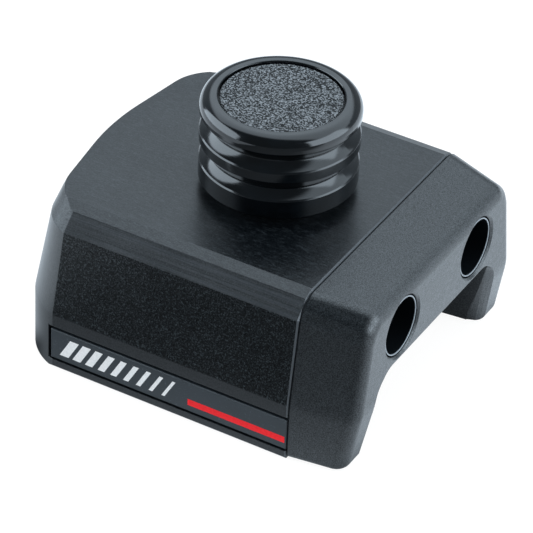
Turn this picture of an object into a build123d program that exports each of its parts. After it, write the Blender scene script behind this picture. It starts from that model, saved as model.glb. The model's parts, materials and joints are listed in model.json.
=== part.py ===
from build123d import *
import math
import os

# Spring-plunger pin stop for a sail-control track.
# Millimetres. +Z up, +X along the track towards the end cap, +Y across the track.
# Origin: on the plane of the feet, under the axis of the plunger.
# Widths across the track (..._W) are half widths; the stop is symmetric about Y = 0
# except for the turns of its spring and the slant of its label marks.

os.makedirs("parts", exist_ok=True)

SIDES = (1, -1)
MIN_Z = (Align.CENTER, Align.CENTER, Align.MIN)

# ---- body shell ----
JOINT_X = 18.35          # plane where the body meets the end cap
TOP_Z, TOP_W = 28.2, 21.0            # flat top
FACET_Z, FACET_W = 27.5, 22.95       # outer edge of the shallow top facet
SHOULDER_Z, SHOULDER_W = 24.85, 25.3  # lower edge of the shoulder chamfer
SKIRT_Z, SKIRT_W = 10.0, 27.15       # the sides are upright below this height
FOOT_W = 26.85           # at the very bottom, inside a small broken edge
FOOT_EDGE_Z = 0.35
BLANK_X0 = -45.0         # the extrusion starts well ahead of the nose
JOINT_CHAMFER = 0.28

# ---- nose contour ----
NOSE_DEG = 8.5           # each half of the nose is swept back by this
NOSE_R = 45.0            # rounding of the nose apex in plan
CONTOUR_OUT = 0.5        # the contour reaches past the sides, to meet them at a crisp edge
CONTOUR_BACK_X = JOINT_X + 12
CUT_TOP_Z = 29.0         # the contour ends above the flat top, on the shoulder chamfer's slope
CUT_TOP_W = FACET_W - (CUT_TOP_Z - FACET_Z) * (SHOULDER_W - FACET_W) / (FACET_Z - SHOULDER_Z)
# z, half width of the side, x of the unrounded apex, plan radius of the corners
NOSE_LEVELS = [
    (-0.5, SKIRT_W, -34.3, 11.5),
    (SKIRT_Z, SKIRT_W, -34.3, 11.5),
    (SHOULDER_Z, SHOULDER_W, -31.45, 9.0),
    (FACET_Z, FACET_W, -30.6, 8.5),
    (CUT_TOP_Z, CUT_TOP_W, -30.05, 8.5),
]

# ---- track channel and liner slots ----
ROOF_Z = 14.5            # underside of the bridge
CHANNEL_W = 18.4
CHANNEL_ROOF_R = 0.9
SLOT_W = 20.5            # liner slot reaches out to this half width
SLOT_Z0, SLOT_Z1 = 5.95, 9.05
SLOT_X0 = -26.0          # blind end of the liner slot

# ---- end cap ----
CAP_X0 = JOINT_X + 0.15  # a narrow gap separates cap and body
CAP_X1 = 29.05
CAP_FOOT_X = 27.4        # the end face is raked back to here at z = 0
CAP_RAKE_Z = 10.0        # and is upright above this height
CAP_FOOT_Z = 0.05
# half width, z: cap outline at the joint and at the end, bottom to top
CAP_JOINT_OUTLINE = [(27.0, CAP_FOOT_Z), (27.0, 10.0), (25.02, 24.75), (23.75, 26.95), (21.9, 28.05)]
CAP_END_OUTLINE = [(25.5, CAP_FOOT_Z), (25.25, 10.0), (22.95, 22.7), (22.1, 24.75), (19.8, 26.7)]
# cutters that round the legs' inner edges: depth behind the raked face, half width low, high
FLARE_STEPS = [(2.3, 19.35, 17.5), (1.1, 19.85, 18.05), (0.45, 20.4, 18.5), (-0.5, 21.7, 19.5)]
SPIGOT_Z = 20.6          # centre of the spigot that locates the cap
SPIGOT_W = 4.2
SPIGOT_HALF_H = 3.0
SPIGOT_X0 = JOINT_X - 2.6
SPIGOT_PLAY = 0.1

# ---- cap fasteners ----
HOLE_Y, HOLE_Z = 12.0, 20.0
HOLE_R = 5.1             # counterbore
SEAT_X = 20.5            # floor of the counterbore
MOUTH_X = 28.7           # front edge of the screw cup
CUP_NECK_X = 27.7        # the cup is thinner in front of this
CUP_NECK_R = 4.86
CUP_BORE_R = 4.6
HEAD_X0 = SEAT_X + 0.8   # underside of the screw head
HEAD_LENGTH = 3.5
SCREW_TIP_X = 7.0
INSERT_R = 3.1

# ---- labels ----
LABEL_X0 = -24.2         # recess
LABEL_Z0, LABEL_Z1 = 1.45, 7.8
LABEL_INNER_Y = SKIRT_W - 1.2
STRIP_OUTER_Y = SKIRT_W - 0.18
STRIP_X1 = JOINT_X - 0.06
HATCH_COUNT = 9
HATCH_X0, HATCH_PITCH = -20.6, 2.25
HATCH_WIDTH, HATCH_THINNING = 1.6, 0.13
HATCH_SLANT = 0.95       # shift of each end along X
HATCH_Z0, HATCH_Z1 = 2.75, 6.15

# ---- plunger ----
PIN_R = 4.0
STEM_R = 3.0
PIN_TIP_Z = 4.5
PIN_SHOULDER_Z = 19.9    # the stem starts here
GROOVE_R = 3.4           # retaining ring groove
GROOVE_Z0, GROOVE_Z1 = 17.85, 18.65
GUIDE_R = 6.0
GUIDE_TOP_Z = 17.8
HOUSING_R = 8.0          # thread outside radius in the body
HOUSING_BORE_R = 5.4
HOUSING_Z0 = 17.4
HOUSING_TOP_Z = 38.2
BARREL_R = 7.5
FLANGE_R = 9.6
SEAL_TOP_Z = TOP_Z + 0.5
WIPER_R = 4.2
SPRING_TOP_Z = 36.8
SEAT_Z0, SEAT_Z1 = 18.7, 19.4
WIRE_R = 0.45
SPRING_R = 4.7           # coil centre line
TURNS = 6.5

# ---- knob ----
KNOB_Z0 = 29.9
KNOB_TOP_Z = 44.2
KNOB_R = 12.5
CROWN_R = 1.85           # rounding of the outer top edge
KNOB_BORE_R = 8.6        # clears the barrel
INSET_R = 9.74
INSET_Z = KNOB_TOP_Z - 1.45
WEB_Z0, WEB_Z1 = 38.85, 40.6   # web clamped on the stem
WEB_HOLE_R = 3.3
KNOB_WASHER_TOP_Z = 41.15
# radius, height above the knob's base: two grooves between three bands, bottom to top
KNOB_BANDS = [
    (KNOB_BORE_R, 0), (12.1, 0), (12.4, 0.3), (12.4, 3.25), (12.2, 3.45),
    (10.85, 4.55), (10.85, 4.75), (12.25, 6.5), (12.42, 6.75), (12.42, 8.3), (12.22, 8.5),
    (10.85, 9.65), (10.85, 9.85), (12.25, 11.45), (KNOB_R, 11.85),
]


# ------------------------------------------------------------------ helpers
def write(name, shape):
    """Export one shape, or a list of shapes as one compound."""
    if isinstance(shape, list):
        shape = Compound(children=shape)
    export_step(shape, f"parts/{name}.step")


def upright(radius, z0, z1):
    """Cylinder on the plunger axis."""
    return Pos(0, 0, z0) * Cylinder(radius, z1 - z0, align=MIN_Z)


def ring(inner, outer, z0, z1):
    return upright(outer, z0, z1) - upright(inner, z0, z1)


def turned(points):
    """Solid of revolution about Z from (radius, z) points."""
    return revolve(make_face(Plane.XZ * Polyline(*points, close=True)), Axis.Z)


def on_screw_axis(shape, x, side):
    return Pos(x, side * HOLE_Y, HOLE_Z) * shape


def screw_cylinder(radius, x0, x1, side):
    """Cylinder along X on the axis of one cap screw."""
    return on_screw_axis(Rot(0, 90, 0) * Cylinder(radius, x1 - x0, align=MIN_Z), x0, side)


def block(x0, x1, y0, y1, z0, z1):
    """Box between two planes on each axis; the Y pair may come in either order."""
    box = Box(x1 - x0, abs(y1 - y0), z1 - z0)
    return Pos((x0 + x1) / 2, (y0 + y1) / 2, (z0 + z1) / 2) * box


def hexagon(across_flats):
    return RegularPolygon(across_flats / math.sqrt(3), 6)


def circles(shape):
    return shape.edges().filter_by(GeomType.CIRCLE)


# ------------------------------------------------------------------ body
def nose_plan(z, side_w, apex_x, corner_r):
    """Plan outline at height z: shallow V nose with rounded apex and corners."""
    half_width = side_w + CONTOUR_OUT
    corner_x = apex_x + half_width * math.tan(math.radians(NOSE_DEG))
    face = make_face(Polyline(
        (apex_x, 0), (corner_x, half_width), (CONTOUR_BACK_X, half_width),
        (CONTOUR_BACK_X, -half_width), (corner_x, -half_width), close=True))
    corners = [v for v in face.vertices() if abs(abs(v.Y) - half_width) < 1e-6 and v.X < 0]
    face = fillet(corners, corner_r)
    apex = [v for v in face.vertices() if abs(v.Y) < 1e-6 and v.X < 0]
    return Pos(0, 0, z) * fillet(apex, NOSE_R).face()


def body_blank():
    """Lengthwise extrusion trimmed by the nose contour."""
    half = [
        (0.0, 0.0), (FOOT_W, 0.0), (SKIRT_W, FOOT_EDGE_Z), (SKIRT_W, SKIRT_Z),
        (SHOULDER_W, SHOULDER_Z), (FACET_W, FACET_Z), (TOP_W, TOP_Z), (0.0, TOP_Z)]
    outline = half + [(-y, z) for y, z in reversed(half[1:-1])]
    face = make_face(Plane.YZ * Polyline(*outline, close=True))
    profile = extrude(Pos(BLANK_X0, 0, 0) * face, JOINT_X - BLANK_X0, dir=(1, 0, 0))

    slabs = [loft([nose_plan(*low), nose_plan(*high)], ruled=True)
             for low, high in zip(NOSE_LEVELS, NOSE_LEVELS[1:])]
    contour = slabs[0]
    for slab in slabs[1:]:
        contour = contour + slab
    return (profile & contour).solid()


def track_channel():
    """Cutter for the channel, with rounded roof corners."""
    face = make_face(Plane.YZ * Polyline(
        (-CHANNEL_W, -1), (-CHANNEL_W, ROOF_Z), (CHANNEL_W, ROOF_Z), (CHANNEL_W, -1), close=True))
    channel = extrude(Pos(-40, 0, 0) * face, 80, dir=(1, 0, 0))
    roof_edges = [edge for edge in channel.edges().filter_by(Axis.X)
                  if abs(edge.center().Z - ROOF_Z) < 1e-4]
    return fillet(roof_edges, CHANNEL_ROOF_R)


def label_recess(side):
    """Cutters for one label: pocket, bevelled nose end, broken upper edge."""
    inner = side * LABEL_INNER_Y
    outer = side * (SKIRT_W + 0.02)
    pocket = block(LABEL_X0, JOINT_X + 1, inner, side * (SKIRT_W + 1), LABEL_Z0, LABEL_Z1)
    wedge = make_face(Polyline(
        (LABEL_X0 - 0.55, outer), (LABEL_X0 + 0.05, inner), (LABEL_X0 + 0.05, outer), close=True))
    wedge = extrude(Pos(0, 0, LABEL_Z0) * wedge, LABEL_Z1 - LABEL_Z0, dir=(0, 0, 1))
    lip = make_face(Plane.YZ * Polyline(
        (outer, LABEL_Z1 + 0.17), (side * (SKIRT_W - 0.17), LABEL_Z1 - 0.02),
        (outer, LABEL_Z1 - 0.02), close=True))
    lip = extrude(Pos(LABEL_X0 - 0.3, 0, 0) * lip, JOINT_X + 1 - LABEL_X0, dir=(1, 0, 0))
    return pocket, wedge, lip


def make_body():
    body = body_blank()
    joint_edges = [edge for edge in body.edges()
                   if abs(edge.center().X - JOINT_X) < 1e-4 and edge.center().Z > 1.0]
    # guards the broken joint edge: if the kernel refuses it, the edge stays sharp
    try:
        body = chamfer(joint_edges, JOINT_CHAMFER)
    except Exception as err:
        print("joint chamfer skipped:", err)

    body -= track_channel()
    for side in SIDES:
        body -= block(SLOT_X0, JOINT_X + 1, side * (CHANNEL_W - 0.5), side * SLOT_W,
                      SLOT_Z0, SLOT_Z1)
    # plunger bores
    body -= upright(GUIDE_R, ROOF_Z - 1, ROOF_Z + 7)
    body -= upright(HOUSING_R, HOUSING_Z0 - 0.2, HOUSING_Z0 + 19.8)
    # holes for the cap screws and their inserts
    for side in SIDES:
        body -= screw_cylinder(INSERT_R, 4.2, JOINT_X + 1, side)
    # spigot pocket
    body -= block(SPIGOT_X0, JOINT_X + 1, -SPIGOT_W, SPIGOT_W,
                  SPIGOT_Z - SPIGOT_HALF_H, SPIGOT_Z + SPIGOT_HALF_H)
    for side in SIDES:
        for cutter in label_recess(side):
            body -= cutter
    return body


# ------------------------------------------------------------------ end cap
def cap_section(x, points):
    """Mirror-symmetric YZ section at x from (half width, z) points, bottom to top."""
    outline = [(-y, z) for y, z in points] + [(y, z) for y, z in reversed(points)]
    return Pos(x, 0, 0) * make_face(Plane.YZ * Polyline(*outline, close=True))


def soften(shape, name, radii, test):
    """Fillet the edges whose (bounding box, centre) pass the test.

    The first radius that gives a valid solid is used.
    """
    edges = [edge for edge in shape.edges() if test(edge.bounding_box(), edge.center())]
    for radius in radii:
        # guards against a radius too large for the kernel: the next one is tried
        try:
            rounded = fillet(edges, radius).solid()
            if rounded is not None and rounded.is_valid and rounded.volume > 0:
                return rounded
        except Exception:
            pass
    print(name, "fillet skipped")
    return shape


def arch(x, low_w, high_w, roof_z, radius):
    """Section of the cap's track opening at x."""
    face = make_face(Plane.YZ * Polyline(
        (-low_w, -1), (-high_w, roof_z), (high_w, roof_z), (low_w, -1), close=True))
    return Pos(x, 0, 0) * fillet([v for v in face.vertices() if v.Z > 12], radius).face()


def flare(depth, low_w, high_w):
    """Section of the leg easing, parallel to the raked face and this far behind it."""
    rake = math.atan2(CAP_X1 - CAP_FOOT_X, CAP_RAKE_Z)
    raked_face = Plane(origin=(CAP_FOOT_X, 0, 0), x_dir=(0, 1, 0),
                       z_dir=(math.cos(rake), 0, -math.sin(rake)))
    face = make_face(Polyline(
        (-low_w, -1.5), (-high_w, 13.9), (high_w, 13.9), (low_w, -1.5), close=True))
    face = fillet([v for v in face.vertices() if abs(v.Y) > 12], 3.4).face()
    return raked_face.offset(-depth) * face


def ease_legs(cap):
    """Round the legs' inner front edges along the rake; the bridge keeps a crisp edge."""
    # guards the lofted cuts: if one fails or spoils the solid, the legs stay uneased
    try:
        eased = cap
        for inner, outer in zip(FLARE_STEPS, FLARE_STEPS[1:]):
            eased = eased - loft([flare(*inner), flare(*outer)], ruled=True)
        eased = eased.solid()
        if eased.is_valid and 0.9 < eased.volume / cap.volume < 1:
            return eased
        print("leg easing skipped: invalid")
    except Exception as err:
        print("leg easing skipped:", err)
    return cap


def round_cap(cap):
    """Outer fillets; each picks its edges from the result of the one before."""
    cap = soften(cap, "cap shoulder", (3.0, 2.5, 2.0, 1.5), lambda box, mid: (
        abs(box.min.X - CAP_X0) < 0.01 and box.max.X > CAP_X1 - 0.1
        and mid.Z > 20 and abs(mid.Y) > 15))
    cap = soften(cap, "cap crease", (14.0, 10.0, 6.0), lambda box, mid: (
        abs(mid.Y) < 1 and abs(mid.Z - CAP_RAKE_Z) < 0.3 and box.min.X > CAP_X1 - 0.5))
    cap = soften(cap, "cap skirt", (14.0, 10.0, 6.0), lambda box, mid: (
        abs(mid.Z - SKIRT_Z) < 0.6 and abs(mid.Y) > 24
        and box.min.X < CAP_X0 + 0.1 and box.max.X > CAP_X1 - 2))
    cap = soften(cap, "cap end rim", (2.4, 2.0, 1.6, 1.2), lambda box, mid: (
        box.min.X > CAP_FOOT_X - 0.6 and mid.Z > 0.6 and not (abs(mid.Y) < 1 and mid.Z < 20)))
    return soften(cap, "cap foot", (1.1, 0.8, 0.5, 0.3), lambda box, mid: (
        abs(box.min.Z - CAP_FOOT_Z) < 0.02 and abs(box.max.Z - CAP_FOOT_Z) < 0.02
        and box.max.X > CAP_X0 + 0.5))


def make_end_cap():
    cap = loft([cap_section(CAP_X0, CAP_JOINT_OUTLINE), cap_section(CAP_X1, CAP_END_OUTLINE)],
               ruled=True)
    # end profile: upright above, raked back below towards the foot
    below = 2.0
    rake_slope = (CAP_X1 - CAP_FOOT_X) / CAP_RAKE_Z
    side_view = make_face(Plane.XZ * Polyline(
        (CAP_X0 - 5, -below), (CAP_FOOT_X - below * rake_slope, -below), (CAP_X1, CAP_RAKE_Z),
        (CAP_X1 + 3, CAP_RAKE_Z), (CAP_X1 + 3, 40), (CAP_X0 - 5, 40), close=True))
    cap = (cap & extrude(Pos(0, 40, 0) * side_view, 80, dir=(0, -1, 0))).solid()
    cap = round_cap(cap)

    cap -= loft([arch(CAP_X0 - 0.6, 18.3, 17.8, 14.5, 3.2),
                 arch(CAP_X1 + 0.6, 19.7, 18.0, 14.4, 4.0)], ruled=True)
    cap = ease_legs(cap.solid())

    # counterbores for the cap screws, with a broken mouth edge
    for side in SIDES:
        cap -= screw_cylinder(HOLE_R, SEAT_X, CAP_X1 + 2, side)
        cap -= screw_cylinder(2.75, CAP_X0 - 1, SEAT_X + 1, side)
        mouth = Rot(0, 90, 0) * Cone(HOLE_R, HOLE_R + 0.4, 0.4, align=MIN_Z)
        cap -= on_screw_axis(mouth, CAP_X1 - 0.35, side)
    # spigot into the body
    half_width = SPIGOT_W - SPIGOT_PLAY
    half_height = SPIGOT_HALF_H - SPIGOT_PLAY
    cap += block(SPIGOT_X0, CAP_X0 + 0.5, -half_width, half_width,
                 SPIGOT_Z - half_height, SPIGOT_Z + half_height)
    return cap.solid()


# ------------------------------------------------------------------ cap fasteners
def screw_cup(side):
    cup = (screw_cylinder(HOLE_R, SEAT_X, CUP_NECK_X, side)
           + screw_cylinder(CUP_NECK_R, CUP_NECK_X - 0.5, MOUTH_X, side))
    cup -= screw_cylinder(CUP_BORE_R, HEAD_X0, MOUTH_X + 1, side)
    cup -= screw_cylinder(2.7, SEAT_X - 1, HEAD_X0 + 1, side)
    return fillet([edge for edge in circles(cup) if abs(edge.center().X - MOUTH_X) < 1e-3], 0.1)


def cap_screw(side):
    screw = screw_cylinder(4.2, HEAD_X0, HEAD_X0 + HEAD_LENGTH, side)
    screw = chamfer([edge for edge in circles(screw) if edge.center().X > HEAD_X0 + 3], 0.35)
    socket = extrude(Plane.YZ * hexagon(4.0), 2.4, dir=(1, 0, 0))
    screw -= on_screw_axis(socket, HEAD_X0 + 1.2, side)
    screw += screw_cylinder(2.45, SCREW_TIP_X, HEAD_X0, side)
    tip = [edge for edge in circles(screw) if abs(edge.center().X - SCREW_TIP_X) < 1e-3]
    return chamfer(tip, 0.5)


def thread_insert(side):
    return (screw_cylinder(INSERT_R, 5.8, JOINT_X - 0.3, side)
            - screw_cylinder(2.5, 5, JOINT_X, side))


# ------------------------------------------------------------------ slider liners
def slider_liner(side):
    outer, inner = CHANNEL_W - 0.1, 16.3       # upright wall
    tongue = SLOT_W - 0.15
    tongue_z0, tongue_z1 = SLOT_Z0 + 0.1, SLOT_Z1 - 0.1
    foot_y, foot_z0, foot_z1 = 12.7, 0.9, 3.5  # inward flange at the foot
    roof_y, roof_z0, roof_z1 = 10.6, 13.0, ROOF_Z - 0.15  # and under the roof
    points = [
        (outer, foot_z0), (outer, tongue_z0), (tongue, tongue_z0), (tongue, tongue_z1),
        (outer, tongue_z1), (outer, 13.3), (17.3, roof_z1), (roof_y, roof_z1),
        (roof_y, roof_z0), (inner, roof_z0), (inner, foot_z1), (foot_y, foot_z1),
        (foot_y, foot_z0),
    ]
    face = make_face(Plane.YZ * Polyline(*[(side * y, z) for y, z in points], close=True))
    x0, x1 = SLOT_X0 + 0.15, JOINT_X - 0.1
    liner = extrude(Pos(x0, 0, 0) * face, x1 - x0, dir=(1, 0, 0))
    flange_edges = [edge for edge in liner.edges().filter_by(Axis.X)
                    if abs(abs(edge.center().Y) - foot_y) < 0.01
                    or abs(abs(edge.center().Y) - roof_y) < 0.01]
    return fillet(flange_edges, 0.4)


# ------------------------------------------------------------------ labels
def label_stripe(side, proud=0.01):
    """Stripe block from its groove floor to this far outside the strip's face."""
    return block(0.85, STRIP_X1 - 0.35, side * (STRIP_OUTER_Y - 0.12),
                 side * (STRIP_OUTER_Y + proud), 2.85, 4.0)


def label_hatch(side, depth=0.11):
    """Slanted marks, thinning towards the stripe."""
    marks = []
    for i in range(HATCH_COUNT):
        half_width = (HATCH_WIDTH - HATCH_THINNING * i) / 2
        low_x = HATCH_X0 + i * HATCH_PITCH - HATCH_SLANT
        high_x = low_x + 2 * HATCH_SLANT
        face = make_face(Plane.XZ * Polyline(
            (low_x - half_width, HATCH_Z0), (low_x + half_width, HATCH_Z0),
            (high_x + half_width, HATCH_Z1), (high_x - half_width, HATCH_Z1), close=True))
        floor = Pos(0, side * (STRIP_OUTER_Y - 0.1), 0)
        marks.append(extrude(floor * face, depth, dir=(0, side, 0)))
    return marks


def label_strip(side):
    strip = block(LABEL_X0 + 0.18, STRIP_X1, side * LABEL_INNER_Y, side * STRIP_OUTER_Y,
                  LABEL_Z0 + 0.22, LABEL_Z1 - 0.62)
    outer_edges = [edge for edge in strip.edges()
                   if abs(abs(edge.center().Y) - STRIP_OUTER_Y) < 1e-4]
    strip = chamfer(outer_edges, 0.12)
    strip -= label_stripe(side, proud=1)
    for cutter in label_hatch(side, depth=1.0):
        strip -= cutter
    return strip


# ------------------------------------------------------------------ plunger
def pin_guide_bush():
    bore, step_z = PIN_R + 0.05, HOUSING_Z0 - 0.2
    return ring(bore, GUIDE_R, ROOF_Z + 0.1, step_z) + ring(bore, 5.35, step_z, GUIDE_TOP_Z)


def plunger_housing():
    flange_top_z = TOP_Z + 1.5
    return turned([
        (HOUSING_BORE_R, HOUSING_Z0), (HOUSING_R - 0.5, HOUSING_Z0),
        (HOUSING_R, HOUSING_Z0 + 0.5), (HOUSING_R, TOP_Z), (HOUSING_R, SEAL_TOP_Z),
        (FLANGE_R, SEAL_TOP_Z), (FLANGE_R, flange_top_z - 0.2),
        (FLANGE_R - 0.25, flange_top_z), (BARREL_R, flange_top_z),
        (BARREL_R, HOUSING_TOP_Z - 0.6), (BARREL_R - 0.6, HOUSING_TOP_Z),
        (WIPER_R, HOUSING_TOP_Z), (WIPER_R, SPRING_TOP_Z), (HOUSING_BORE_R, SPRING_TOP_Z)])


def plunger_pin():
    """Blunt pin with a shallow and a deep groove, and a stem with a blind screw hole."""
    stem_top_z, hole_r = 38.8, 2.02
    return turned([
        (0, PIN_TIP_Z), (PIN_R - 1.2, PIN_TIP_Z), (PIN_R - 0.35, PIN_TIP_Z + 0.45),
        (PIN_R, PIN_TIP_Z + 1.4),
        (PIN_R, 13.9), (PIN_R - 0.5, 14.0), (PIN_R - 0.5, 14.45), (PIN_R, 14.55),
        (PIN_R, GROOVE_Z0), (GROOVE_R, GROOVE_Z0), (GROOVE_R, GROOVE_Z1), (PIN_R, GROOVE_Z1),
        (PIN_R, PIN_SHOULDER_Z - 0.3), (PIN_R - 0.3, PIN_SHOULDER_Z),
        (STEM_R, PIN_SHOULDER_Z), (STEM_R, stem_top_z), (hole_r, stem_top_z),
        (hole_r, 32.0), (0, 31.2)])


def retaining_ring():
    """Ring with a gap on its -X side."""
    clip = ring(GROOVE_R + 0.05, 5.15, GROOVE_Z0 + 0.05, GROOVE_Z1)
    return clip - block(-7, 0, -1.2, 1.2, 17, 20)


def plunger_spring():
    end_gap = WIRE_R + 0.02
    z0 = SEAT_Z1 + end_gap
    height = SPRING_TOP_Z - end_gap - z0
    helix = Pos(0, 0, z0) * Helix(pitch=height / TURNS, height=height, radius=SPRING_R)
    wire = Plane(origin=helix @ 0, z_dir=helix % 0) * Circle(WIRE_R)
    return sweep(wire, path=helix, is_frenet=True)


# ------------------------------------------------------------------ knob
def make_knob():
    crown_x, crown_z = KNOB_R - CROWN_R, KNOB_TOP_Z - CROWN_R   # centre of the crown arc
    diagonal = CROWN_R * math.sin(math.radians(45))
    crown_start = (KNOB_R, crown_z)
    crown_end = (crown_x, KNOB_TOP_Z)
    bands = [(radius, KNOB_Z0 + height) for radius, height in KNOB_BANDS] + [crown_start]
    inside = [
        crown_end, (INSET_R + 0.12, KNOB_TOP_Z), (INSET_R, KNOB_TOP_Z - 0.12),
        (INSET_R, INSET_Z), (4.7, INSET_Z), (4.7, WEB_Z1), (WEB_HOLE_R, WEB_Z1),
        (WEB_HOLE_R, WEB_Z0), (KNOB_BORE_R - 0.4, WEB_Z0), (KNOB_BORE_R, WEB_Z0 - 0.4),
        (KNOB_BORE_R, KNOB_Z0)]
    crown = ThreePointArc(crown_start, (crown_x + diagonal, crown_z + diagonal), crown_end)
    outline = Polyline(*bands) + crown + Polyline(*inside)
    return revolve(make_face(Plane.XZ * outline), Axis.Z)


def knob_screw():
    tip_z, head_top_z, shank_r, head_r = 33.2, 42.45, 1.98, 3.5
    screw = turned([
        (0, tip_z), (1.5, tip_z), (shank_r, tip_z + 0.5), (shank_r, KNOB_WASHER_TOP_Z),
        (head_r, KNOB_WASHER_TOP_Z), (head_r, head_top_z - 0.5), (head_r - 0.5, head_top_z),
        (0, head_top_z)])
    return screw - extrude(Pos(0, 0, 41.35) * hexagon(2.5), 2.0)


def knob_inset_disc():
    radius, top_z = INSET_R - 0.22, KNOB_TOP_Z - 0.32
    return turned([
        (0, INSET_Z), (radius, INSET_Z), (radius, top_z - 0.18), (radius - 0.2, top_z),
        (0, top_z)])


# ------------------------------------------------------------------ export
write("body", make_body())
write("end_cap", make_end_cap())
write("cap_screw_cups", [screw_cup(side) for side in SIDES])
write("cap_screws", [cap_screw(side) for side in SIDES])
write("body_thread_inserts", [thread_insert(side) for side in SIDES])
for side_name, side in (("right", -1), ("left", 1)):
    write(f"slider_liner_{side_name}", slider_liner(side))
    write(f"label_strip_{side_name}", label_strip(side))
    write(f"label_stripe_{side_name}", label_stripe(side))
    write(f"label_hatch_{side_name}", label_hatch(side))

write("pin_guide_bush", pin_guide_bush())
write("plunger_housing", plunger_housing())
write("housing_seal", ring(HOUSING_R + 0.05, 9.5, TOP_Z, SEAL_TOP_Z))
write("stem_wiper", ring(STEM_R + 0.05, WIPER_R, SPRING_TOP_Z, HOUSING_TOP_Z + 0.15))
write("plunger_pin", plunger_pin())
write("retaining_ring", retaining_ring())
write("spring_seat_washer", ring(PIN_R + 0.06, 5.2, SEAT_Z0, SEAT_Z1))
write("plunger_spring", plunger_spring())

write("knob", make_knob())
write("knob_insert", ring(2.1, WEB_HOLE_R, WEB_Z0, WEB_Z1))
write("knob_screw_washer", ring(2.15, 4.4, WEB_Z1, KNOB_WASHER_TOP_Z))
write("knob_screw", knob_screw())
write("knob_inset_disc", knob_inset_disc())
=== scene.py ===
# A flat black anodised body lying along X, with a moulded nylon cap at its +X end, screw cups in
# the cap end and a glossy knob standing on top along Z. A coil spring is wound round the Z axis
# inside. Units are metres, +Z is up, and the camera looks from the front (-Y) and the +X side.
import json
import math
from functools import cached_property

import bmesh
import bpy
from mathutils import Matrix, Vector


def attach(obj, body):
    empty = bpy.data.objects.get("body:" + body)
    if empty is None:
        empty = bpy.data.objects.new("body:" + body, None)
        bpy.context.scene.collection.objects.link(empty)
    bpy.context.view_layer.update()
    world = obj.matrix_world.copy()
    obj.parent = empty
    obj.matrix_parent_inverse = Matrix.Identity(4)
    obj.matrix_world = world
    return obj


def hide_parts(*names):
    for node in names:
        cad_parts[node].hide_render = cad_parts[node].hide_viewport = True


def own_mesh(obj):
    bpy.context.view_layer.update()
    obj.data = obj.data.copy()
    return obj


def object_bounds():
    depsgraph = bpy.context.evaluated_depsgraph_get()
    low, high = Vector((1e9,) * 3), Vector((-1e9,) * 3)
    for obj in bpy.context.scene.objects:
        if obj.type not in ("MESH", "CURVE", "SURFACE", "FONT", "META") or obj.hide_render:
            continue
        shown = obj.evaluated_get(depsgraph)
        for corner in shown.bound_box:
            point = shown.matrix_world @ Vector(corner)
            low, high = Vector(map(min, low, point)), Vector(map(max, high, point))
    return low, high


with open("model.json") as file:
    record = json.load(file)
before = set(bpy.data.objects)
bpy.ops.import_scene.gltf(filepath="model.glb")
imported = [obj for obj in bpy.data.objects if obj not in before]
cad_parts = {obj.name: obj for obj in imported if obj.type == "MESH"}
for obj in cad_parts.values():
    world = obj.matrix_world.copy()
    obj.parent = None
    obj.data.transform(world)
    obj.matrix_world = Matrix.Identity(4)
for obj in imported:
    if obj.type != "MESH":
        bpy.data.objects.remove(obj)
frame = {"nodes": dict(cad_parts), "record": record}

CAD_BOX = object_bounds()
scene = bpy.context.scene

# coil spring
SPRING_RADIUS = 0.0047      # Z axis to wire centre
WIRE_RADIUS = 0.00042
SPRING_BOTTOM, SPRING_TOP = 0.01986, 0.03634
SPRING_TURNS = 8.0
CLOSED_TURNS = 0.9          # at each end
CLOSED_PITCH = 2.1          # rise of a closed turn, in wire radii
STEPS_PER_TURN = 28
WIRE_SIDES = 10

# floor
FLOOR_HALF = 3
FLOOR_GAP = 0.00002         # below the lowest CAD point

# camera: its own axes and its place
CAMERA_RIGHT = (0.86299068, 0.50380427, 0.03779335)
CAMERA_UP = (-0.32339873, 0.49339367, 0.80745028)
CAMERA_BACK = (0.38814989, -0.70904439, 0.5887238)
CAMERA_EYE = (0.212066572, -0.389723501, 0.335241995)
CAMERA_LENS = 236.49775835  # mm, on the sensor below
CAMERA_SENSOR = 36.0        # mm


# ------------------------------------------------------------------ node graphs
class Signal:
    """A node output. Arithmetic on it adds Math nodes to its graph."""

    def __init__(self, graph, socket):
        self.graph = graph
        self.socket = socket

    def output(self, name):
        """Another output of the same node."""
        return Signal(self.graph, self.socket.node.outputs[name])

    def __add__(self, other):
        return self.graph.math("ADD", self, other)

    def __sub__(self, other):
        return self.graph.math("SUBTRACT", self, other)

    def __rsub__(self, other):
        return self.graph.math("SUBTRACT", other, self)

    def __mul__(self, other):
        return self.graph.math("MULTIPLY", self, other)

    def __truediv__(self, other):
        return self.graph.math("DIVIDE", self, other)

    def __pow__(self, other):
        return self.graph.math("POWER", self, other)

    def __abs__(self):
        return self.graph.math("ABSOLUTE", self)


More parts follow.
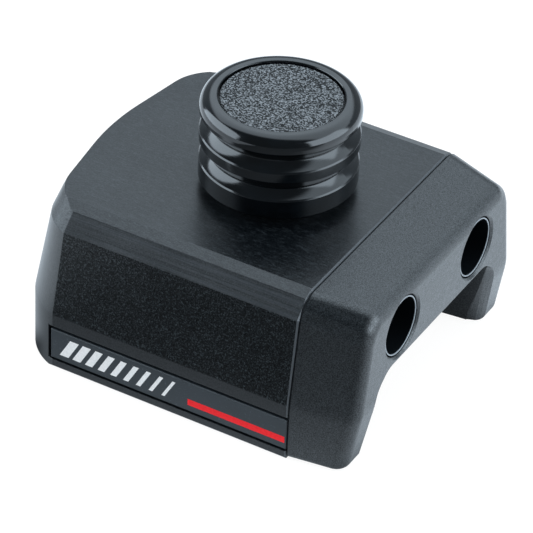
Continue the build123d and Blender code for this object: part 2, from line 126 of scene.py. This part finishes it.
class Graph:
    """A builder round a node tree. space is the texture coordinate it works in."""

    def __init__(self, tree, space):
        self.tree = tree
        self.space = space

    @cached_property
    def coordinates(self):
        return self.node("ShaderNodeTexCoord", output=self.space)

    def fill(self, node, inputs):
        """Links Signals and sets plain values; None leaves a socket as it is."""
        for key, value in inputs.items():
            socket = node.inputs[key]
            if isinstance(value, Signal):
                self.tree.links.new(value.socket, socket)
            elif value is not None:
                socket.default_value = (*value, 1) if socket.type == "RGBA" else value

    def add(self, kind, inputs, **settings):
        node = self.tree.nodes.new(kind)
        for key, value in settings.items():
            setattr(node, key, value)
        self.fill(node, inputs)
        return node

    def node(self, kind, inputs={}, output=0, **settings):
        """Adds a node and returns one of its outputs."""
        return Signal(self, self.add(kind, inputs, **settings).outputs[output])

    def math(self, operation, first, second=None):
        return self.node("ShaderNodeMath", {0: first, 1: second}, operation=operation)

    def separate(self, vector):
        split = self.node("ShaderNodeSeparateXYZ", {0: vector})
        return [split.output(axis) for axis in "XYZ"]

    def ramp(self, source, span=(0.3, 0.7), to=(0.0, 1.0), interpolation="LINEAR"):
        """Carries span to to, clamped. The default span holds most of a noise texture."""
        return self.node("ShaderNodeMapRange", {
            "Value": source, "From Min": span[0], "From Max": span[1],
            "To Min": to[0], "To Max": to[1]}, interpolation_type=interpolation)

    def smooth(self, source, span, to=(0.0, 1.0)):
        return self.ramp(source, span, to, interpolation="SMOOTHSTEP")

    def band(self, source, span, soft):
        """1 where source is within span, with soft ends."""
        low, high = span
        rise = self.smooth(source, span=(low - soft, low + soft))
        return rise * self.smooth(source, span=(high - soft, high + soft), to=(1.0, 0.0))


class Material(Graph):
    """A builder round a Principled material. Textures may be linked over the first values."""

    def __init__(self, name, color, rough=0.5, metallic=0.0, spec=0.5):
        self.material = bpy.data.materials.new(name)
        self.material.use_nodes = True
        super().__init__(self.material.node_tree, "Object")
        self.shader = self.tree.nodes["Principled BSDF"]
        self.normal = None
        self.surface(color, rough, spec)
        self.fill(self.shader, {"Metallic": metallic, "Coat Roughness": 0.1})

    def surface(self, color=None, rough=None, spec=None):
        self.fill(self.shader, {
            "Base Color": color, "Roughness": rough, "Specular IOR Level": spec})

    def noise(self, scale, detail=2.0, rough=0.5, distortion=0.0):
        """scale is the frequency per metre, one for all axes or one for each."""
        if not isinstance(scale, tuple):
            scale = (scale,) * 3
        mapped = self.node("ShaderNodeMapping", {"Vector": self.coordinates, "Scale": scale})
        return self.node("ShaderNodeTexNoise", {
            "Vector": mapped, "Scale": 1.0, "Detail": detail, "Roughness": rough,
            "Distortion": distortion}, output="Fac")

    def mix(self, factor, low, high):
        # 6, 7 and output 2 are the colour sockets of a Mix node
        return self.node("ShaderNodeMix", {0: factor, 6: low, 7: high}, output=2, data_type="RGBA")

    def position(self, axis):
        return self.node("ShaderNodeSeparateXYZ", {0: self.coordinates}, output=axis)

    def face_normal(self):
        return self.separate(self.node("ShaderNodeNewGeometry", output="True Normal"))

    def bevel(self, radius, samples=4):
        self.normal = self.node(
            "ShaderNodeBevel", {"Radius": radius}, output="Normal", samples=samples)

    def bump(self, height, distance, strength):
        self.normal = self.node("ShaderNodeBump", {
            "Distance": distance, "Strength": strength, "Height": height,
            "Normal": self.normal}, output="Normal")

    def done(self):
        self.fill(self.shader, {"Normal": self.normal})
        return self.material


# ------------------------------------------------------------------ materials
def anodised_body():
    mat = Material("body_anodised", color=(0.002, 0.003, 0.004), rough=0.34)
    mat.bevel(radius=0.00014, samples=6)
    x, z = mat.position("X"), mat.position("Z")
    streak = mat.noise((120, 5200, 5200), detail=3.0, rough=0.6)
    lengthwise_noise = mat.noise((16, 1500, 1500))
    grain = mat.noise(4300, rough=0.6)
    cloud = mat.noise(110)
    coarse = mat.noise(3900, rough=0.75)
    sparkle = mat.ramp(coarse, span=(0.50, 0.72))

    # the faces, told apart by how they lean
    normal_z = mat.face_normal()[2]
    normal_x, normal_y, _ = mat.face_normal()
    top = mat.ramp(normal_z, span=(0.985, 0.999))
    shoulder = mat.band(normal_z, span=(0.50, 0.80), soft=0.03)    # wide lower chamfer
    facet = mat.band(normal_z, span=(0.90, 0.975), soft=0.01)      # shallow one above it
    # blasted sides: upright or slightly leaning faces between the skirt and the shoulder
    sideways = mat.ramp(abs(normal_y), span=(0.93, 0.965))
    above_skirt = mat.ramp(z, span=(0.00992, 0.01022))
    blasted = sideways * above_skirt * mat.ramp(normal_z, span=(0.3, 0.25))

    color = mat.mix(mat.ramp(grain), low=(0.0005, 0.001, 0.0015), high=(0.003, 0.004, 0.005))
    side_color = mat.mix(sparkle, low=(0.0002, 0.0004, 0.0006), high=(0.027, 0.034, 0.037))
    color = mat.mix(blasted, low=color, high=side_color)
    # fine lengthwise scuffs on the top and the facet
    scuff = mat.ramp(mat.noise((900, 4200, 4200), detail=3.0, rough=0.7), span=(0.50, 0.72))
    scuffed = mat.math("MAXIMUM", top, facet) * scuff
    color = mat.mix(scuffed, low=color, high=(0.020, 0.023, 0.025))
    # lighter lengthwise lines and specks show on the shoulder only
    lengthwise_line = shoulder * mat.ramp(lengthwise_noise, span=(0.5, 0.72))
    color = mat.mix(lengthwise_line, low=color, high=(0.010, 0.012, 0.014))
    speck = shoulder * mat.ramp(coarse, span=(0.52, 0.72))
    color = mat.mix(speck, low=color, high=(0.014, 0.016, 0.018))
    # painted highlight: the body's chamfered edge against the cap is painted lighter
    painted_edge_highlight = (mat.ramp(x, span=(0.01804, 0.01808)) * mat.ramp(normal_x, span=(0.3, 0.6))
            * mat.ramp(normal_x, span=(0.93, 0.97), to=(1.0, 0.0)))
    color = mat.mix(painted_edge_highlight, low=color, high=(0.055, 0.058, 0.062))

    rough = mat.ramp(cloud, to=(0.32, 0.36)) + mat.ramp(grain, to=(-0.03, 0.03))
    blasted_polish = 0.04
    rough = rough - blasted * blasted_polish

    sparkle_middle, sparkle_gain = 0.5, 0.5
    spec = mat.ramp(grain, to=(0.40, 0.60))
    spec = spec + (sparkle - sparkle_middle) * (blasted * sparkle_gain)
    # painted shade: the shoulder's reflection is painted darker, in long streaks; the facet is a
    # little brighter and the sides duller
    streaky_shoulder_shade = shoulder * mat.ramp(streak, span=(0.35, 0.62), to=(0.56, 0.26))
    facet_gain, blasted_loss = 0.16, 0.25
    gain = (1.0 - streaky_shoulder_shade) + facet * facet_gain
    gain = gain - blasted * blasted_loss
    # the top is darker in a round shade just in front of the knob, at x 6.5 mm, y -13.5 mm
    from_x, from_y = x - 0.0065, mat.position("Y") + 0.0135
    away = mat.math("SQRT", from_x * from_x + from_y * from_y)
    shade = top * mat.smooth(away, span=(0.003, 0.0105), to=(0.55, 0.0))
    gain = gain * (1.0 - shade)
    mat.surface(color, rough, spec * gain)

    # relief of each texture on each face
    shoulder_streak, all_grain, blasted_grain, top_streak = 0.9, 0.35, 1.6, 0.25
    height = streak * (shoulder * shoulder_streak) + (
        grain * all_grain + coarse * (blasted * blasted_grain))
    height = height + streak * (top * top_streak)
    mat.bump(height, distance=0.000030, strength=0.8)
    return mat.done()


def moulded_cap():
    mat = Material("cap_nylon", color=(0.04, 0.046, 0.052), rough=0.42)
    mat.bevel(radius=0.00016, samples=6)
    fine = mat.noise(5600, rough=0.7)
    middle = mat.noise(1500, detail=1.0)
    normal_x, normal_y, normal_z = mat.face_normal()
    # painted shade: the end face's reflection is painted a little darker than the top's
    painted_sheen_level = mat.ramp(normal_x, span=(0.75, 0.97), to=(1.03, 0.77))
    # painted shade: the rounded shoulders' reflection is painted darker
    sideways = mat.ramp(abs(normal_y), span=(0.38, 0.52))
    painted_shoulder_shade = (mat.band(normal_z, span=(0.52, 0.88), soft=0.07) * sideways
              * mat.ramp(normal_x, span=(0.3, 0.45), to=(1.0, 0.0)))
    shoulder_shade_depth = 0.45
    painted_sheen_level = painted_sheen_level * (1.0 - painted_shoulder_shade * shoulder_shade_depth)
    # painted shade: the cap's reflection is cut at its edge against the body, a dark line where
    # the joint lies in shade
    painted_sheen_level = painted_sheen_level * mat.ramp(mat.position("X"), span=(0.01856, 0.01866), to=(0.12, 1.0))
    mat.surface(
        color=mat.mix(mat.ramp(fine, span=(0.42, 0.66)),
                      low=(0.001, 0.0015, 0.002), high=(0.018, 0.021, 0.023)),
        rough=mat.ramp(middle, to=(0.34, 0.39)),
        spec=mat.ramp(fine, to=(0.35, 0.84)) * painted_sheen_level)
    middle_relief = 0.6
    mat.bump(fine + middle * middle_relief, distance=0.000030, strength=0.8)
    return mat.done()


def gloss_knob():
    mat = Material("knob_gloss", color=(0.001, 0.0015, 0.002), rough=0.07)
    mat.bevel(radius=0.00012, samples=6)
    lathe = mat.noise((160, 160, 7000))
    smear = mat.noise((300, 300, 500))
    mat.surface(
        color=mat.mix(mat.ramp(smear, span=(0.35, 0.7)),
                      low=(0.0008, 0.0012, 0.0016), high=(0.002, 0.003, 0.004)),
        rough=mat.ramp(smear, to=(0.10, 0.15)))
    z = mat.position("Z")

    def hollow(bottom, top):
        """A parabola from 0 at both ends to -1 halfway up."""
        rise = mat.ramp(z, span=(bottom, top))
        return rise * (rise - 1.0) * 4.0

    # the groove flanks are slightly hollow
    flanks = hollow(bottom=0.03335, top=0.03445) + hollow(bottom=0.03840, top=0.03955)
    mat.bump(flanks, distance=0.00006, strength=1.0)
    smear_relief = 0.8
    mat.bump(lathe + smear * smear_relief, distance=0.000006, strength=0.5)
    return mat.done()


def grained_disc():
    mat = Material("inset_grain", color=(0.05, 0.056, 0.06), spec=0.6)
    fine = mat.noise(5200, rough=0.6)
    pebble = mat.noise(3700, rough=0.6, distortion=0.3)
    # the pebble tops are painted lighter: real grain tone together with a painted highlight for
    # the glints on the grain
    light = mat.ramp(pebble, span=(0.46, 0.62))
    mat.surface(
        color=mat.mix(light, low=(0.0002, 0.0003, 0.0004), high=(0.150, 0.155, 0.160)),
        rough=mat.ramp(fine, to=(0.42, 0.60)),
        spec=mat.ramp(light, span=(0.0, 1.0), to=(0.18, 1.1)))
    fine_relief = 0.3
    mat.bump(fine * fine_relief + pebble, distance=0.00012, strength=0.9)
    return mat.done()


def satin_label():
    mat = Material("label", color=(0.055, 0.070, 0.084), rough=0.45)
    mat.bevel(radius=0.0001)
    fine = mat.noise(3600)
    cloud = mat.noise((90, 90, 260))
    speck = mat.ramp(mat.noise(2400, detail=1.0), span=(0.66, 0.74))
    speck_cover = 0.6
    base = mat.mix(mat.ramp(cloud), low=(0.013, 0.017, 0.020), high=(0.017, 0.021, 0.025))
    mat.surface(
        color=mat.mix(speck * speck_cover, low=base, high=(0.05, 0.06, 0.07)),
        rough=mat.ramp(fine, to=(0.40, 0.50)))
    mat.bump(fine, distance=0.000010, strength=0.5)
    return mat.done()


def print_ink(name, low, high, spec):
    rough = 0.42
    mat = Material(name, color=low, rough=rough, spec=spec)
    fine = mat.noise(2600, detail=3.0)
    mat.surface(
        color=mat.mix(mat.ramp(fine, span=(0.35, 0.65)), low=low, high=high),
        rough=mat.ramp(fine, to=(rough - 0.05, rough + 0.08)))
    mat.bump(fine, distance=0.000008, strength=0.4)
    return mat.done()


def metal(name, color, rough):
    """Turned metal with rings round Z and uneven roughness."""
    mat = Material(name, color, rough, metallic=1.0)
    mat.bevel(radius=0.00008)
    rings = mat.noise((300, 300, 9000), rough=0.6)
    smear = mat.noise(500, detail=3.0)
    dark = tuple(channel * 0.78 for channel in color)
    mat.surface(
        color=mat.mix(mat.ramp(smear), low=dark, high=color),
        rough=mat.ramp(rings, span=(0.25, 0.75), to=(rough - 0.07, rough + 0.09)))
    mat.bump(rings, distance=0.000008, strength=0.5)
    return mat.done()


def black_metal(name, color, rough, spec):
    mat = Material(name, color, rough, spec=spec)
    mat.bevel(radius=0.0001)
    fine = mat.noise(3000)
    dark, light = (tuple(channel * gain for channel in color) for gain in (0.7, 1.4))
    mat.surface(
        color=mat.mix(mat.ramp(fine), low=dark, high=light),
        rough=mat.ramp(fine, to=(rough - 0.05, rough + 0.08)))
    mat.bump(fine, distance=0.00001, strength=0.6)
    return mat.done()


def cup_material():
    """Black inside, with a painted highlight on the +X lip."""
    black = (0.003, 0.004, 0.005)
    mat = Material("screw_cups", color=black, rough=0.4, spec=0.3)
    x = mat.position("X")
    fine = mat.noise(3000)
    noise_middle, lip_wander = 0.5, 0.0001      # the lip's border wanders with the noise
    # painted highlight: the +X lip is painted bright
    lip_highlight = mat.ramp(x + (fine - noise_middle) * lip_wander, span=(0.02852, 0.02862))
    mat.surface(
        color=mat.mix(lip_highlight, low=black, high=(0.17, 0.18, 0.19)),
        rough=mat.ramp(fine, to=(0.32, 0.48)),
        spec=mat.ramp(lip_highlight, span=(0.0, 1.0), to=(0.10, 0.7)))
    mat.bump(fine, distance=0.000008, strength=0.5)
    return mat.done()


def acetal():
    mat = Material("liner", color=(0.02, 0.021, 0.023), rough=0.36)
    mat.bevel(radius=0.00015)
    fine = mat.noise((1200, 4200, 4200))
    mat.surface(
        color=mat.mix(mat.ramp(fine), low=(0.018, 0.019, 0.021), high=(0.030, 0.032, 0.035)),
        rough=mat.ramp(fine, to=(0.31, 0.42)))
    mat.bump(fine, distance=0.00001, strength=0.5)
    return mat.done()


def rubber():
    mat = Material("seal_rubber", color=(0.012, 0.012, 0.013), rough=0.75, spec=0.3)
    fine = mat.noise(3500, detail=3.0)
    mat.surface(color=mat.mix(fine, low=(0.006, 0.006, 0.007), high=(0.016, 0.016, 0.017)))
    mat.bump(fine, distance=0.00002, strength=0.6)
    return mat.done()


MATERIALS = {
    "body_anodised": anodised_body(),
    "cap_nylon": moulded_cap(),
    "knob_gloss": gloss_knob(),
    "inset_grain": grained_disc(),
    "label": satin_label(),
    "stripe_red": print_ink(
        "stripe_red", low=(0.90, 0.014, 0.018), high=(0.98, 0.022, 0.028), spec=0.2),
    "hatch_white": print_ink(
        "hatch_white", low=(0.86, 0.79, 0.74), high=(0.95, 0.87, 0.82), spec=0.3),
    "stainless": metal("stainless", color=(0.62, 0.63, 0.64), rough=0.28),
    "pin_steel": metal("pin_steel", color=(0.66, 0.67, 0.68), rough=0.22),
    "spring_steel": metal("spring_steel", color=(0.52, 0.53, 0.54), rough=0.3),
    "bronze": metal("bronze", color=(0.58, 0.38, 0.17), rough=0.3),
    "screw_cups": cup_material(),
    "screws_black": black_metal(
        "screws_black", color=(0.004, 0.005, 0.006), rough=0.42, spec=0.2),
    "housing_black": black_metal(
        "housing_black", color=(0.010, 0.012, 0.014), rough=0.38, spec=0.5),
    "liner": acetal(),
    "seal_rubber": rubber(),
}

SLOT_OF = {part["node"]: part["material_slot"] for part in frame["record"]["subparts"]}
for name, obj in frame["nodes"].items():
    obj.data.materials.clear()
    obj.data.materials.append(MATERIALS[SLOT_OF[name]])


# ------------------------------------------------------------------ spring
def coil_path():
    """Wire centre line: closed coils at both ends, even pitch between them."""
    length = SPRING_TOP - SPRING_BOTTOM
    closed = CLOSED_TURNS * WIRE_RADIUS * CLOSED_PITCH
    path = []
    for i in range(int(SPRING_TURNS * STEPS_PER_TURN) + 1):
        turn = i / STEPS_PER_TURN
        if turn < CLOSED_TURNS:
            rise = closed * turn / CLOSED_TURNS
        elif turn > SPRING_TURNS - CLOSED_TURNS:
            rise = length - closed * (SPRING_TURNS - turn) / CLOSED_TURNS
        else:
            share = (turn - CLOSED_TURNS) / (SPRING_TURNS - 2 * CLOSED_TURNS)
            rise = closed + (length - 2 * closed) * share
        angle = 2 * math.pi * turn
        path.append(Vector((SPRING_RADIUS * math.cos(angle), SPRING_RADIUS * math.sin(angle),
                            SPRING_BOTTOM + rise)))
    return path


def coil_mesh(name):
    """A round wire swept along the coil path, with flat ends."""
    path = coil_path()
    last = len(path) - 1
    verts, faces = [], []
    for i, point in enumerate(path):
        along = (path[min(i + 1, last)] - path[max(i - 1, 0)]).normalized()
        outward = Vector((point.x, point.y, 0)).normalized()
        side = along.cross(outward).normalized()
        outward = side.cross(along).normalized()
        for j in range(WIRE_SIDES):
            angle = 2 * math.pi * j / WIRE_SIDES
            verts.append(point + outward * (WIRE_RADIUS * math.cos(angle))
                         + side * (WIRE_RADIUS * math.sin(angle)))
    for i in range(last):
        for j in range(WIRE_SIDES):
            here = i * WIRE_SIDES + j
            beside = i * WIRE_SIDES + (j + 1) % WIRE_SIDES
            faces.append((here, beside, beside + WIRE_SIDES, here + WIRE_SIDES))
    faces.append(tuple(range(WIRE_SIDES)))
    faces.append(tuple(range(last * WIRE_SIDES, (last + 1) * WIRE_SIDES))[::-1])
    mesh = bpy.data.meshes.new(name)
    mesh.from_pydata([tuple(vert) for vert in verts], [], faces)
    mesh.validate()
    for polygon in mesh.polygons:
        polygon.use_smooth = len(polygon.vertices) == 4
    bm = bmesh.new()
    bm.from_mesh(mesh)
    bmesh.ops.recalc_face_normals(bm, faces=bm.faces)
    bm.to_mesh(mesh)
    bm.free()
    return mesh


spring = bpy.data.objects.new("coil_spring", coil_mesh("coil_spring"))
scene.collection.objects.link(spring)
spring.data.materials.append(MATERIALS["spring_steel"])
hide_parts("plunger_spring")
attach(spring, "stop_body")
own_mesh(spring)


# ------------------------------------------------------------------ floor
def floor_material():
    mat = Material("floor", color=(0.16, 0.145, 0.135), rough=0.95, spec=0.0)
    mat.fill(mat.shader, {"Emission Color": (1, 1, 1), "Emission Strength": 0.90})
    # seen in glossy faces, the table is bright under the part and falls away towards the front
    place = mat.node("ShaderNodeNewGeometry", output="Position")
    x, y, _ = mat.separate(place)
    front = mat.smooth(y, span=(-0.058, 0.004), to=(0.16, 1.0))
    left = mat.smooth(x, span=(-0.046, -0.037), to=(1.2, 0.0))
    front = mat.math("MAXIMUM", front, left)
    level = front * mat.smooth(x, span=(-0.045, 0.030), to=(1.45, 2.10))
    # under the part itself the table is in shade
    under_part = (mat.band(x, span=(-0.0315, 0.0275), soft=0.003)
                  * mat.band(y, span=(-0.0262, 0.0262), soft=0.002))
    level = level * mat.ramp(under_part, span=(0.0, 1.0), to=(1.0, 0.12))
    glow = mat.node("ShaderNodeEmission", {"Color": (0.78, 0.895, 1.0), "Strength": level})
    glossy_ray = mat.node("ShaderNodeLightPath", output="Is Glossy Ray")
    plain = Signal(mat, mat.shader.outputs[0])
    seen = mat.node("ShaderNodeMixShader", {0: glossy_ray, 1: plain, 2: glow})
    # from below the floor isn't drawn, so the underside can be looked at
    clear = mat.node("ShaderNodeBsdfTransparent")
    seen = mat.node("ShaderNodeMixShader", {0: place.output("Backfacing"), 1: seen, 2: clear})
    mat.fill(mat.tree.nodes["Material Output"], {"Surface": seen})
    mat.material.cycles.emission_sampling = "NONE"
    return mat.done()


floor_mesh = bpy.data.meshes.new("floor")
floor_mesh.from_pydata(
    [(x * FLOOR_HALF, y * FLOOR_HALF, 0) for x, y in ((-1, -1), (1, -1), (1, 1), (-1, 1))],
    [], [(0, 1, 2, 3)])
floor = bpy.data.objects.new("floor", floor_mesh)
scene.collection.objects.link(floor)
floor.location = (0, 0, CAD_BOX[0][2] - FLOOR_GAP)
floor_mesh.materials.append(floor_material())
floor.visible_diffuse = False


# ------------------------------------------------------------------ world
def over(below, mask, value):
    """mask blends from below to value."""
    return below * (1.0 - mask) + mask * value


def azimuth_from(graph, centre):
    """Degrees of azimuth away from centre (degrees, +X is 0, +Y is 90)."""
    cos, sin = math.cos(math.radians(centre)), math.sin(math.radians(centre))
    across, along = (
        graph.node("ShaderNodeVectorMath", {0: graph.coordinates, 1: direction},
                   output="Value", operation="DOT_PRODUCT")
        for direction in ((-sin, cos, 0), (cos, sin, 0)))
    return graph.math("ARCTAN2", across, along) * math.degrees(1)


def room_level(graph):
    """Brightness of the room in each direction."""
    x, y, z = graph.separate(graph.coordinates)
    elevation = graph.math("ARCSINE", z) * math.degrees(1)
    # the dim room: darkest in front, a little lighter behind
    level = graph.smooth(y, span=(-0.2, 0.5), to=(0.16, 0.50))
    # a wide panel overhead and behind, laid out on a plane at height 1
    height = graph.math("MAXIMUM", z, 0.02)
    panel_x, panel_y = x / height, y / height
    panel = (graph.smooth(z, span=(0.3, 0.4)) * graph.band(panel_y, span=(0.0, 1.50), soft=0.14)
             * graph.smooth(panel_x, span=(-1.2, -0.9)))
    level = over(level, panel, value=2.45)
    # a tall soft box to the left (-X), round above its middle and squarer below
    half_width, middle, half_height = 34.0, 16.0, 31.0      # degrees
    across = abs(azimuth_from(graph, centre=-153)) / half_width
    up = (elevation - middle) / half_height
    round_power, square_power = 2.4, 6.0
    round_top = across ** round_power + graph.math("MAXIMUM", up, 0.0) ** round_power
    square_foot = across ** square_power + abs(up) ** square_power
    outline = over(square_foot, graph.smooth(up, span=(-0.02, 0.02)), round_top)
    box_left = graph.smooth(outline, span=(0.90, 1.10), to=(1.0, 0.0))
    # and one to the right (+X)
    box_right = (graph.band(azimuth_from(graph, centre=9), span=(-29.0, 31.0), soft=3.0)
                 * graph.band(elevation, span=(-13.0, 45.0), soft=2.5))
    level = over(level, graph.math("MAXIMUM", box_left, box_right), value=5.8)
    # the white table out to the horizon
    table_cover = 1.0
    table = graph.smooth(elevation, span=(-9.0, -18.0)) * table_cover
    return over(level, table, graph.smooth(y, span=(-0.7, 0.1), to=(0.30, 1.8)))


world = bpy.data.worlds.new("studio")
scene.world = world
world.use_nodes = True
world.node_tree.nodes.clear()
studio = Graph(world.node_tree, "Generated")
room = studio.node(
    "ShaderNodeBackground", {"Color": (0.757, 0.889, 1.0), "Strength": room_level(studio)})
# the camera itself sees plain white
white = studio.node("ShaderNodeBackground", {"Color": (1, 1, 1), "Strength": 1.05})
camera_ray = studio.node("ShaderNodeLightPath", output="Is Camera Ray")
backdrop = studio.node("ShaderNodeMixShader", {0: camera_ray, 1: room, 2: white})
studio.add("ShaderNodeOutputWorld", {0: backdrop})

# ------------------------------------------------------------------ camera
camera_data = bpy.data.cameras.new("camera")
camera = bpy.data.objects.new("camera", camera_data)
scene.collection.objects.link(camera)
camera.matrix_world = Matrix(
    [*zip(CAMERA_RIGHT, CAMERA_UP, CAMERA_BACK, CAMERA_EYE), (0, 0, 0, 1)])
camera_data.sensor_fit = "HORIZONTAL"
camera_data.sensor_width = CAMERA_SENSOR
camera_data.lens = CAMERA_LENS
camera_data.clip_start = 0.01
camera_data.clip_end = 50
scene.camera = camera
scene.view_settings.view_transform = "Standard"
scene.view_settings.look = "None"
